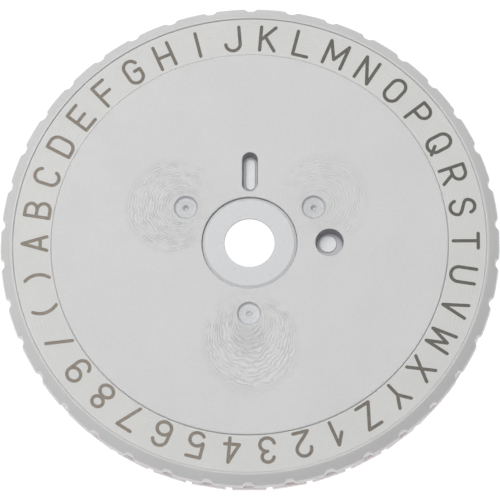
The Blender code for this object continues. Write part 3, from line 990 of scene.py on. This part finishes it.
def blade_stations():
    """Position, bottom, top, inset and tip of the blade's sections from inside the hub to the rim."""
    stations = [(x, FLEXURE_BOTTOM, FLEXURE_TOP, 0.0, 0.0) for x in FLEXURE_STATIONS]
    for t in np.linspace(0, 1, 6):
        ease = t * t * (3 - 2 * t)
        low = FLEXURE_BOTTOM + (FINGER_BOTTOM - FLEXURE_BOTTOM) * ease
        high = FLEXURE_TOP + (FINGER_TOP - FLEXURE_TOP) * ease
        stations.append((FLEXURE_END + (BLADE_START - FLEXURE_END) * t, low, high, 0.0, 0.0))
    stations += [(x, FINGER_BOTTOM, FINGER_TOP, 0.0, tip) for x, tip in BLADE_STATIONS]
    for angle in np.linspace(0, math.pi / 2, 5):
        setback = BLADE_FILLET * (1 - math.sin(angle))
        inset = BLADE_FILLET * (1 - math.cos(angle))
        stations.append((FINGER_TIP - setback, FINGER_BOTTOM, FINGER_TOP, inset, 1.0))
    return stations


def finger(index, character, strokes, finish):
    """One spring finger with its punch, whose thin flexure starts in the slit disc's hub."""
    shell = Shell()
    azimuth = (index + 0.5 + READ_TO_PRESS) * PITCH
    out = np.array((math.sin(azimuth), math.cos(azimuth)))
    across = np.array((math.cos(azimuth), -math.sin(azimuth)))

    def place(points):
        return [(*(p[0] * out + p[1] * across), p[2]) for p in points]

    shell.solid([place(blade_section(*station)) for station in blade_stations()])
    pad = punch_loops(PUNCH, PUNCH_LEVELS)
    shell.loft([place(loop) for loop in pad])
    shell.cap(place(pad[0]))
    marks = glyph_outlines(character, strokes, PUNCH_MARK_UNIT, PUNCH_STROKE)
    mirrored = [outline[:, ::-1] + (PUNCH_AT, 0) for outline in marks]
    top = Shell()
    relief(top, pad[-1], [], [mirrored], PUNCH_LEVELS[-1], PUNCH_MARK_TOP, 0)
    shell.add(place(top.points), top.faces)
    shell.solid([place(loop) for loop in punch_loops(PRESS_PAD, PRESS_LEVELS)])
    word = WORDS.get(character, character)
    item = shell.make("finger_blade_" + word, [finish])
    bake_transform(item)
    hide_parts("finger_" + word)


def punch_loops(place, levels, corner=0.3):
    """Loops of a pad with round corners, at (radius, half length, half width), from its root to its top."""
    middle, half_x, half_y = place
    loops = []
    for z, inset in zip(levels, (0.0, 0.0, 0.06)):
        loops.append([(middle + x, y, z) for x, y in round_rectangle(half_x, half_y, corner, inset)])
    return loops


def finger_hub(finishes):
    """The slit disc's middle, with a pad at the floor of each drive opening and a boss on each pad."""
    shell = Shell()
    corners = [
        (BOSS, CORE_TOP, 0.1),
        (BOSS, FINGER_TOP, 0.1),
        (CORE_EDGE, FINGER_TOP, 0.12),
        (CORE_EDGE, FINGER_BOTTOM, 0.1),
        (BARREL_BORE, FINGER_BOTTOM, 0.06),
        (BARREL_BORE, CORE_TOP, 0.06),
    ]
    shell.loft(lathe_loops(rounded(corners, closed=True), even_turns(114)), close=True)
    pad = [(0.0, 2.4), (0.0, DRIVE_FLOOR - 0.06), (-0.06, DRIVE_FLOOR)]
    top = DRIVE_FLOOR + 0.25
    boss = [(0.0, DRIVE_FLOOR - 0.2), (0.0, top - 0.08), (-0.03, top - 0.02), (-0.1, top)]
    solids = [
        [stadium_loop((0, SLOT_AT), 3.15 + grow, 1.1 + grow, z) for grow, z in pad],
        [stadium_loop(SLOT_BOSS_AT, 2.6 + grow, 0.75 + grow, z) for grow, z in boss],
        [circle_loop((DRIVE_AT, 0), 2.1 + grow, z) for grow, z in pad],
        [circle_loop(HOLE_BOSS_AT, 1.38 + grow, z) for grow, z in boss],
    ]
    # Finishes 1 to 3 are painted shade on the pads and a painted highlight on the bosses.
    for loops, finish in zip(solids, (1, 2, 3, 2)):
        shell.solid(loops, finish)
    return shell.make("slit_disc_hub", finishes)


# ---------------- hub, cap, screws and small rings


def hub_bush(finish):
    """The bush that the wheel turns on: a ring in the dial, a web round the hole, and a grooved barrel."""
    corners = [
        (HUB_BEVEL, HUB_TOP, 0.25),
        (HUB_EDGE, HUB_TOP - 0.26, 0.08),
        (HUB_EDGE, HUB_SHOULDER, 0.06),
        (BARREL, HUB_SHOULDER, 0.05),
        (BARREL, CLIP_GROOVE_TOP, 0.04),
        (BARREL_GROOVE, CLIP_GROOVE_TOP, 0.04),
        (BARREL_GROOVE, CLIP_GROOVE_BOTTOM, 0.04),
        (BARREL, CLIP_GROOVE_BOTTOM, 0.04),
        (BARREL, BARREL_END, 0.15),
        (SOCKET, BARREL_END, 0.2),
        (SOCKET, HUB_WEB, 0.15),
        (SPINDLE_HOLE, HUB_WEB, 0.08),
        (SPINDLE_HOLE, HUB_TOP, 0.08),
    ]
    return turned("hub_bush_bearing", corners, 120, finish)


def back_cap(finish):
    """The clamp plate, with a shallow ring groove and a countersink for each screw."""
    shell = Shell()
    outer = rounded([
        (CAP_GROOVE_IN - 0.4, 0.0, 0),
        (CAP_GROOVE_IN, 0.0, 0.05),
        (CAP_GROOVE_IN + 0.2, CAP_GROOVE_DEPTH, 0.08),
        (CAP_GROOVE_OUT - 0.2, CAP_GROOVE_DEPTH, 0.08),
        (CAP_GROOVE_OUT, 0.0, 0.05),
        (CAP_EDGE - 0.3, 0.0, 0.1),
        (CAP_EDGE, 0.3, 0.1),
        (CAP_EDGE, CAP_TOP, 0.1),
        (CAP_BORE + 0.4, CAP_TOP, 0),
    ])
    inner = rounded([
        (CAP_BORE + 0.45, 0.0, 0),
        (CAP_BORE + 0.3, 0.0, 0.1),
        (CAP_BORE, 0.3, 0.1),
        (CAP_BORE, CAP_TOP, 0.05),
        (CAP_BORE + 0.4, CAP_TOP, 0),
    ])
    turns = even_turns(114)
    edge, bore = lathe_loops(outer, turns), lathe_loops(inner, turns)
    countersink = [(2.0, 0.0, 0), (1.84, 0.0, 0.05), (1.82, 0.27, 0.04), (1.08, 0.95, 0.05), (1.08, CAP_TOP, 0)]
    top_holes, low_holes = [], []
    for azimuth in GATE_AZIMUTHS:
        spot = polar(GATE_AT, azimuth)
        loops = [circle_loop(spot, radius, z) for radius, z in rounded(countersink)]
        shell.loft(loops)
        low_holes.append(loops[0])
        top_holes.append(loops[-1])
    shell.loft(edge[:-1])
    shell.loft(bore[:-1])
    flat_face(shell, edge[0], [bore[0]] + low_holes, 0.0)
    flat_face(shell, edge[-2], [bore[-2]] + top_holes, CAP_TOP)
    return shell.make("back_cap_moulded", [finish])


SCREW_HEAD = 0.15
THREAD_TURNS = 13
THREAD_PITCH = 0.36


def cross_outline(centre, arm, half, z):
    """A cross with twelve corners."""
    corners = [(arm, half), (half, half), (half, arm)]
    for _ in range(3):
        corners += [(-y, x) for x, y in corners[-3:]]
    return [(centre[0] + x, centre[1] + y, z) for x, y in corners]


def back_screw(number, azimuth, finish):
    """A countersunk screw seen from its crossed head, with a threaded shank in the boss."""
    shell = Shell()
    spot = polar(GATE_AT, azimuth)
    head = rounded([
        (1.5, SCREW_HEAD, 0),
        (1.7, SCREW_HEAD, 0.06),
        (1.7, SCREW_HEAD + 0.1, 0.04),
        (0.85, 0.95, 0.1),
        (0.85, 1.3, 0),
    ])
    thread = []
    for turn in range(THREAD_TURNS):
        z = 1.4 + THREAD_PITCH * turn
        thread += [(0.68, z), (0.84, z + 0.14), (0.84, z + 0.2)]
    tip = [(0.6, 6.12), (0.45, 6.18)]
    loops = [circle_loop(spot, radius, z, 32) for radius, z in head + thread + tip]
    shell.loft(loops)
    shell.cap(loops[-1])
    mouth = cross_outline(spot, 1.0, 0.17, SCREW_HEAD)
    recess = cross_outline(spot, 0.8, 0.12, 0.6)
    flat_face(shell, loops[0], [mouth], SCREW_HEAD)
    shell.loft([mouth, recess])
    shell.cap(recess)
    return shell.make(f"back_screw_zinc_{number}", [finish])


def thrust_washer(finish):
    """The flat ring between the back of the wheel and the retaining ring."""
    edge, low, high = 8.9, 0.86, 1.1
    corners = [(edge, high, 0.05), (edge, low, 0.05), (BARREL_BORE, low, 0.04), (BARREL_BORE, high, 0.04)]
    return turned("thrust_washer_steel", corners, 96, finish, steps=3)


def arc_points(centre, radius, angles):
    """Points round a centre, anticlockwise from +x."""
    return [(centre[0] + radius * math.cos(a), centre[1] + radius * math.sin(a)) for a in angles]


def retaining_ring(finish):
    """An open ring, deepest opposite its gap, with a drilled lug at each end."""
    shell = Shell()
    gap = math.radians(22)
    inner, outer = 6.75, 7.85
    lug, lug_at, eye = 0.85, 8.0, 0.4
    turn = lug / lug_at
    low, high = 0.375, 0.725
    arc = np.linspace(gap + turn, TAU - gap - turn, 60)
    points = arc_points((0.0, 0.0), outer, arc)
    for angle, side in ((TAU - gap, 1), (gap, -1)):
        centre = (lug_at * math.cos(angle), lug_at * math.sin(angle))
        swing = np.linspace(angle - side * 0.5 * math.pi, angle + side * 0.35 * math.pi, 12)
        edge = arc_points(centre, lug, swing)
        if side > 0:
            points += edge
            points += arc_points((0.0, 0.0), inner, np.linspace(TAU - gap, gap, 64))
        else:
            points += edge[::-1]
    outline = np.array(points)
    eyes = [circle_loop(spot, eye, 0.0, 20) for spot in arc_points((0.0, 0.0), lug_at, (gap, TAU - gap))]
    outward = np.column_stack((np.roll(outline[:, 1], -1) - np.roll(outline[:, 1], 1),
                               np.roll(outline[:, 0], 1) - np.roll(outline[:, 0], -1)))
    outward /= np.linalg.norm(outward, axis=1)[:, None]
    levels = [(0.04, low), (0.0, low + 0.04), (0.0, high - 0.04), (0.04, high)]
    sides = [at_level(outline - outward * inset, z) for inset, z in levels]
    shell.loft(sides)
    for z, loop in ((low, sides[0]), (high, sides[-1])):
        flat_face(shell, loop, eyes, z)
    for hole in eyes:
        shell.loft([at_level(hole, low), at_level(hole, high)])
    return shell.make("retaining_ring_steel", [finish])


def dress(piece, body, node):
    """The piece rides on the body and stands for the CAD node, which is hidden."""
    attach(piece, body)
    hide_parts(node)


def slit_disc_finish():
    """Pale plastic that lets some light in."""
    softness = {"Subsurface_Weight": 0.8, "Subsurface_Scale": 0.004, "Subsurface_Radius": (1.0, 0.85, 0.85)}
    return plastic("finger_plastic_natural", (0.88, 0.80, 0.815), 0.36, 0.02, **softness)


def build_wheel():
    """Every visual piece, the fingers standing for their CAD nodes and the rest dressed and riding on their
    bodies, and the die ring's own finish.
    """
    strokes = glyph_strokes()
    finger_pink = slit_disc_finish()
    steel = metal("spring_steel_oiled", (0.30, 0.30, 0.31), 0.38)
    zinc = metal("zinc_plated_steel", (0.58, 0.58, 0.56), 0.34)
    bearing = plastic("hub_plastic_smooth", (0.60, 0.605, 0.615), 0.3, 0.012, 0.001)
    cap_grey = plastic("cap_plastic_satin", (0.60, 0.605, 0.60), 0.45, 0.03)
    dress(dial_disc(), "wheel", "dial_disc")
    dress(index_ring(strokes), "wheel", "index_ring")
    # Grey copies of one plastic for the hub's floors in the drive openings: the pads darker, the hole's pad
    # darkest, as painted shade, and the bosses lighter, as a painted highlight.
    pad_shade_and_highlight = [
        plastic("slot_pad_painted_shade", (0.56, 0.56, 0.57), 0.45, 0.04),
        plastic("drive_boss_painted_highlight", (0.66, 0.67, 0.675), 0.4, 0.06),
        plastic("hole_pad_painted_shade", (0.45, 0.44, 0.47), 0.45, 0.04),
    ]
    dress(finger_hub([finger_pink] + pad_shade_and_highlight), "wheel", "finger_hub")
    dress(back_cap(cap_grey), "wheel", "back_cap")
    for number, azimuth in enumerate(GATE_AZIMUTHS, start=1):
        dress(back_screw(number, azimuth, zinc), "wheel", f"back_screw_{number}")
    dress(hub_bush(bearing), "hub", "hub_bush")
    dress(thrust_washer(steel), "hub", "thrust_washer")
    dress(retaining_ring(steel), "hub", "retaining_ring")
    for index, character in enumerate(CHARACTERS):
        finger(index, character, strokes, finger_pink)
    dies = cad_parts["die_ring"]
    dies.data.materials.clear()
    dies.data.materials.append(plastic("die_plastic_filled", (0.30, 0.31, 0.32), 0.42, 0.06))


# ---------------- stage


def floor():
    """A pale sheet lit a little from below, like a light table."""
    mesh = bpy.data.meshes.new("floor")
    reach = 1.5
    corners = [(-reach, -reach, 0), (reach, -reach, 0), (reach, reach, 0), (-reach, reach, 0)]
    mesh.from_pydata(corners, [], [(0, 1, 2, 3)])
    item = add_object("floor", mesh)
    finish = Finish("floor_white")
    glow = {"Emission_Color": (1.0, 1.0, 1.0, 1.0), "Emission_Strength": 0.97}
    mesh.materials.append(finish.done((0.15, 0.15, 0.15, 1.0), 0.9, Specular_IOR_Level=0.0, **glow))


def soft_light(name, azimuth, elevation, distance, size, power):
    """A square soft light that faces the wheel."""
    data = bpy.data.lights.new(name, "AREA")
    data.shape = "SQUARE"
    data.size = size
    data.energy = power
    item = add_object(name, data)
    a, e = math.radians(azimuth), math.radians(elevation)
    out = Vector((math.sin(a) * math.cos(e), math.cos(a) * math.cos(e), math.sin(e)))
    item.location = out * distance
    item.rotation_mode = "QUATERNION"
    item.rotation_quaternion = out.to_track_quat("Z", "Y")


def lights():
    """A weak even surround, a large light overhead, and two from the back left."""
    world = bpy.data.worlds.new("studio")
    bpy.context.scene.world = world
    world.use_nodes = True
    background = world.node_tree.nodes["Background"].inputs
    background["Color"].default_value = (1.0, 1.0, 1.0, 1.0)
    background["Strength"].default_value = 0.08
    soft_light("overhead", 0, 90, 0.9, 1.1, 6.1)
    soft_light("key", 329, 57, 0.9, 0.5, 2.75)
    soft_light("west_fill", 285, 55, 0.4, 0.2, 0.18)


def camera():
    """Nearly square above the wheel, tilted towards its near edge."""
    azimuth, tilt, roll = math.radians(174.55), math.radians(17.1), 0.003
    distance = 0.85
    data = bpy.data.cameras.new("camera")
    data.sensor_width = 36.0
    data.lens = 382.6
    data.clip_start, data.clip_end = 0.05, 20.0
    item = add_object("camera", data)
    back = Vector((*(math.sin(tilt) * part for part in polar(1.0, azimuth)), math.cos(tilt)))
    level = (Vector((1.0, 0.0, 0.0)) - back * back.x).normalized()
    right = Quaternion(back, -roll) @ level
    up = back.cross(right)
    aim = Vector((0.0, 0.0, FACE * MM)) + right * (0.08 * MM) - up * (1.214 * MM)
    item.location = aim + back * distance
    item.rotation_mode = "QUATERNION"
    item.rotation_quaternion = Matrix((right, up, back)).transposed().to_quaternion()
    bpy.context.scene.camera = item


bpy.context.scene.view_settings.view_transform = "Standard"
camera()
lights()
floor()
build_wheel()
